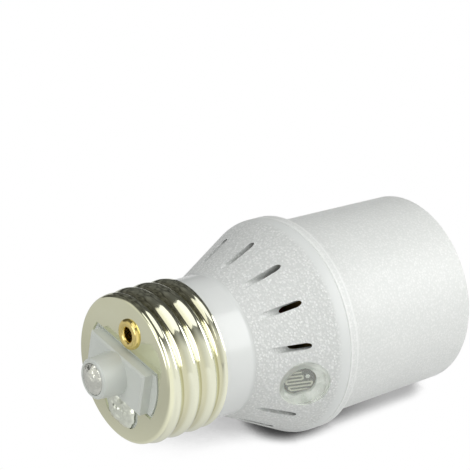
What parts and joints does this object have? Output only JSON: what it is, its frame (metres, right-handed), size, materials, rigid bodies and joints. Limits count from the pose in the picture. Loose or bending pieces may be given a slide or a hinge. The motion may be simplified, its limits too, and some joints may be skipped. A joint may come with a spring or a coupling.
{
  "type": "photocell lamp holder",
  "caption": "Screw-in dusk-to-dawn lamp holder: a screw base on a slotted cone with a clear sensor window, and a flanged skirt whose mouth takes a lamp.",
  "frame": {"origin": "middle of the skirt's mouth, on the plane of its rim", "axes": "+Z along the axis towards the screw base; the sensor window faces -Y"},
  "size_m": [0.0382, 0.0382, 0.0706],
  "materials": {
    "plated_shell": "bright nickel plate with a warm tint",
    "housing_plastic": "spark-textured cone, smooth neck and rim",
    "contact_metal": "shiny, solder dipped",
    "eyelet_brass": "polished",
    "solder": "dull, lumpy",
    "clear_lens": "clear, glossy",
    "sensor_face": "coated ceramic with a winding track",
    "tinned_lead": "tinned",
    "board": "phenolic laminate",
    "screw_steel": "zinc plated",
    "black_component": "moulded epoxy",
    "film_case": "dipped",
    "can_sleeve": "shrink sleeve",
    "resistor_body": "lacquered",
    "skirt_plastic": "fine satin texture",
    "socket_metal": "bright rolled sheet",
    "spring_brass": "rolled strip",
    "rivet_brass": "plain",
    "black_wire": "insulated",
    "white_wire": "insulated",
    "red_wire": "insulated"
  },
  "bodies": {
    "holder": {"cap_shell": "plated_shell", "base_housing": "housing_plastic", "centre_contact": "contact_metal", "eyelet": "eyelet_brass", "solder_joint": "solder", "window_lens": "clear_lens", "photocell": "sensor_face", "photocell_leads": "tinned_lead", "circuit_board": "board", "board_screws": "screw_steel", "thyristor": "black_component", "film_capacitor": "film_case", "electrolytic_capacitor": "can_sleeve", "resistors": "resistor_body", "bridge_rectifier": "black_component", "skirt": "skirt_plastic", "socket_shell": "socket_metal", "tongue_rivet": "rivet_brass", "shell_rivets": "rivet_brass", "line_wire": "black_wire", "neutral_wire": "white_wire", "load_wire": "red_wire", "neutral_link": "white_wire"},
    "contact": {"contact_tongue": "spring_brass"}
  },
  "joints": [
    {"name": "contact_spring", "type": "slide", "parent": "holder", "child": "contact", "axis": [0, 0, 1], "range_m": [0, 0.0015], "stiffness_N_per_m": 2000, "deforming": ["contact_tongue"]}
  ]
}
